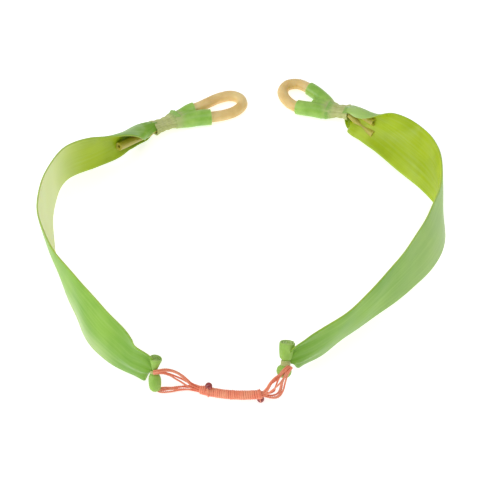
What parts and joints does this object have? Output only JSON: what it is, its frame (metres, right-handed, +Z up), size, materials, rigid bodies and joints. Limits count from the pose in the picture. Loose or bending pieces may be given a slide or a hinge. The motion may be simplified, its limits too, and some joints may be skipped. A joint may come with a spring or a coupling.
{
  "type": "elastic band set with corded centre and end loops",
  "caption": "Two flat latex strips joined by a served cord span with nocking beads, each strip ending in a folded latex tube loop.",
  "frame": {"origin": "centre of the bounding box at the surface that the strips' lower edges and the loops rest on", "axes": "+X right, +Y from the corded span towards the two loops, +Z up"},
  "size_m": [0.1716, 0.1793, 0.022],
  "materials": {
    "strip_latex": "smooth translucent green latex, yellower on the inner face",
    "rolled_latex": "smooth green latex, several layers deep",
    "wrap_latex": "stretched green latex, slightly glossy",
    "binding_latex": "pale stretched latex, slightly glossy",
    "tube_latex": "translucent amber latex tube",
    "tie_thread": "waxed pale thread",
    "cord": "twisted orange cord",
    "serving_thread": "close wound orange thread",
    "bead": "polished dark red"
  },
  "bodies": {
    "bridge": {"serving": "serving_thread", "core_cords": "cord", "left_bead": "bead", "right_bead": "bead", "left_bead_stitch": "serving_thread", "right_bead_stitch": "serving_thread"},
    "left_cords": {"left_cord_1": "cord", "left_cord_2": "cord", "left_cord_3": "cord", "left_cord_4": "cord", "left_cord_5": "cord", "left_cord_6": "cord", "left_cord_7": "cord", "left_cord_8": "cord"},
    "left_band": {"left_strip_near": "strip_latex", "left_rolled_end": "rolled_latex", "left_roll_tie": "tie_thread"},
    "left_band_end": {"left_strip_far": "strip_latex", "left_tube_tails": "tube_latex"},
    "left_loop": {"left_loop_tube": "tube_latex", "left_strip_end_wrap": "wrap_latex", "left_neck_binding": "binding_latex"},
    "right_cords": {"right_cord_1": "cord", "right_cord_2": "cord", "right_cord_3": "cord", "right_cord_4": "cord", "right_cord_5": "cord", "right_cord_6": "cord", "right_cord_7": "cord", "right_cord_8": "cord"},
    "right_band": {"right_strip_near": "strip_latex", "right_rolled_end": "rolled_latex", "right_roll_tie": "tie_thread"},
    "right_band_end": {"right_strip_far": "strip_latex", "right_tube_tails": "tube_latex"},
    "right_loop": {"right_loop_tube": "tube_latex", "right_strip_end_wrap": "wrap_latex", "right_neck_binding": "binding_latex"}
  },
  "joints": [
    {"name": "left_cord_fold", "type": "hinge", "parent": "bridge", "child": "left_cords", "pos_m": [-0.01835, -0.08315, 0.002], "axis": [0, 0, 1], "range_deg": [0, 15]},
    {"name": "left_knob_turn", "type": "hinge", "parent": "left_cords", "child": "left_band", "pos_m": [-0.0354, -0.0804, 0.01], "axis": [0, 0, 1], "range_deg": [0, 15]},
    {"name": "left_strip_flex", "type": "hinge", "parent": "left_band", "child": "left_band_end", "pos_m": [-0.0844, 0.013, 0.011], "axis": [0, 0, 1], "range_deg": [-2, 35], "stiffness_Nm_per_rad": 0.002},
    {"name": "left_loop_flex", "type": "hinge", "parent": "left_band_end", "child": "left_loop", "pos_m": [-0.0412, 0.0564, 0.0047], "axis": [0, 0, 1], "range_deg": [-5, 12], "stiffness_Nm_per_rad": 0.001},
    {"name": "right_cord_fold", "type": "hinge", "parent": "bridge", "child": "right_cords", "pos_m": [0.0067, -0.0874, 0.0049], "axis": [0, 0, -1], "range_deg": [0, 15]},
    {"name": "right_knob_turn", "type": "hinge", "parent": "right_cords", "child": "right_band", "pos_m": [0.0151, -0.0763, 0.01], "axis": [0, 0, -1], "range_deg": [0, 15]},
    {"name": "right_strip_flex", "type": "hinge", "parent": "right_band", "child": "right_band_end", "pos_m": [0.0836, 0.011, 0.011], "axis": [0, 0, -1], "range_deg": [-2, 35], "stiffness_Nm_per_rad": 0.002},
    {"name": "right_loop_flex", "type": "hinge", "parent": "right_band_end", "child": "right_loop", "pos_m": [0.0463, 0.0661, 0.0047], "axis": [0, 0, -1], "range_deg": [-5, 12], "stiffness_Nm_per_rad": 0.001}
  ]
}
